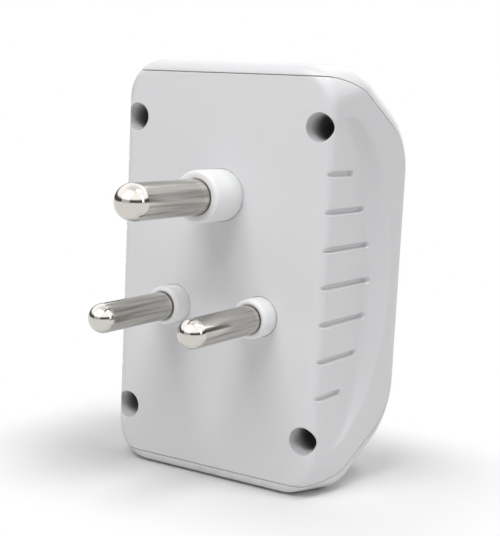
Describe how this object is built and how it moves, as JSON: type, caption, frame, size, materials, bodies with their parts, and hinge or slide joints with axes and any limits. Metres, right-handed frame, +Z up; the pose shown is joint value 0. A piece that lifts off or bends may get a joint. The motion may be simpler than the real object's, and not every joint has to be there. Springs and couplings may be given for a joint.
{
  "type": "multi socket plug adapter",
  "caption": "Plug-in multi socket adapter: flared white housing with three round pins on the back, sloping flanks, finger grips and outlets on the hidden front.",
  "frame": {"origin": "on the earth pin's axis, in the plane where the plug meets the wall socket (the end of the earth pin's collar)", "axes": "+Y along the pins, out of the back and into the wall socket; -Y towards the outlets on the front; +Z up with the earth pin at the top; +X to the right as seen from the front"},
  "size_m": [0.07, 0.0748, 0.1048],
  "materials": {
    "housing": "semi-gloss white ABS",
    "collar": "satin white nylon",
    "pin": "nickel-plated and polished",
    "contact": "plain brass",
    "plate": "pale insulating plastic",
    "steel": "zinc-plated steel"
  },
  "bodies": {
    "root": {"back_housing": "housing", "case_screws": "steel", "contact_plate": "plate", "earth_contact": "contact", "earth_contact_ring": "steel", "earth_pin": "pin", "earth_pin_collar": "collar", "front_cover": "housing", "line_contact": "contact", "line_contact_ring": "steel", "line_pin": "pin", "line_pin_collar": "collar", "line_strip": "contact", "lower_line_contact": "contact", "lower_neutral_contact": "contact", "neutral_contact": "contact", "neutral_contact_ring": "steel", "neutral_pin": "pin", "neutral_pin_collar": "collar", "neutral_strip": "contact", "plate_screws": "steel", "strip_rivets": "contact", "upper_line_contact": "contact", "upper_neutral_contact": "contact"}
  },
  "joints": []
}
